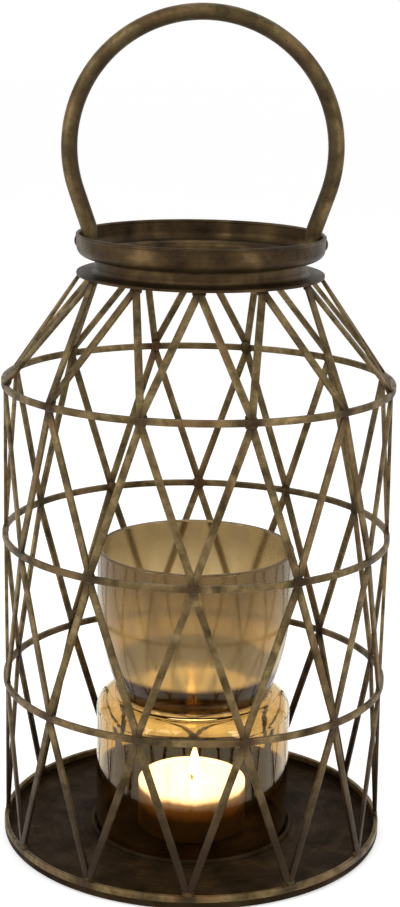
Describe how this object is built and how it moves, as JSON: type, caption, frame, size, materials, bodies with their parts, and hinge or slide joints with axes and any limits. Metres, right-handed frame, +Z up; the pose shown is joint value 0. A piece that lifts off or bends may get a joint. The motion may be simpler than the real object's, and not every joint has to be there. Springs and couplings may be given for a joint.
{
  "type": "candle lantern",
  "caption": "Openwork metal lantern with a triangular lattice cage, spun collar, swinging rod handle, loose waisted brown glass and pillar candle.",
  "frame": {"origin": "middle of the tray's flat underside, on the surface that the lantern stands on", "axes": "+Z up through the handle, -Y the front as pictured, +X to the right, along the pins of the handle"},
  "size_m": [0.27, 0.27, 0.58],
  "materials": {
    "cage_metal": "mottled antique bronze over flat iron",
    "tray_metal": "antique bronze over sheet",
    "collar_metal": "dark antique bronze, satin, over a spun sheet",
    "handle_metal": "antique bronze over a round rod",
    "pin_metal": "dark worn bronze",
    "brown_glass": "clear glass with a brown amber tint and a light lustre",
    "candle_wax": "ivory wax that glows when lit",
    "candle_wick": "charred cotton"
  },
  "bodies": {
    "lantern": {"base_tray": "tray_metal", "base_ring": "cage_metal", "lower_ring": "cage_metal", "middle_ring": "cage_metal", "shoulder_ring": "cage_metal", "base_bars_leaning_right": "cage_metal", "base_bars_leaning_left": "cage_metal", "lower_bars_leaning_right": "cage_metal", "lower_bars_leaning_left": "cage_metal", "upper_bars_leaning_right": "cage_metal", "upper_bars_leaning_left": "cage_metal", "shoulder_bars_leaning_right": "cage_metal", "shoulder_bars_leaning_left": "cage_metal", "collar": "collar_metal", "handle_pin_right": "pin_metal", "handle_pin_left": "pin_metal", "glass_locating_ring": "tray_metal"},
    "handle": {"handle_hoop": "handle_metal"},
    "glass": {"glass_hurricane": "brown_glass"},
    "candle": {"candle_wax": "candle_wax", "candle_wick": "candle_wick"}
  },
  "joints": [
    {"name": "handle_swing", "type": "hinge", "parent": "lantern", "child": "handle", "pos_m": [0, 0, 0.42298], "axis": [1, 0, 0], "range_deg": [-42, 42]},
    {"name": "glass_lift", "type": "slide", "parent": "lantern", "child": "glass", "axis": [0, 0, 1], "range_m": [0, 0.3]},
    {"name": "candle_lift", "type": "slide", "parent": "lantern", "child": "candle", "axis": [0, 0, 1], "range_m": [0, 0.43]}
  ]
}
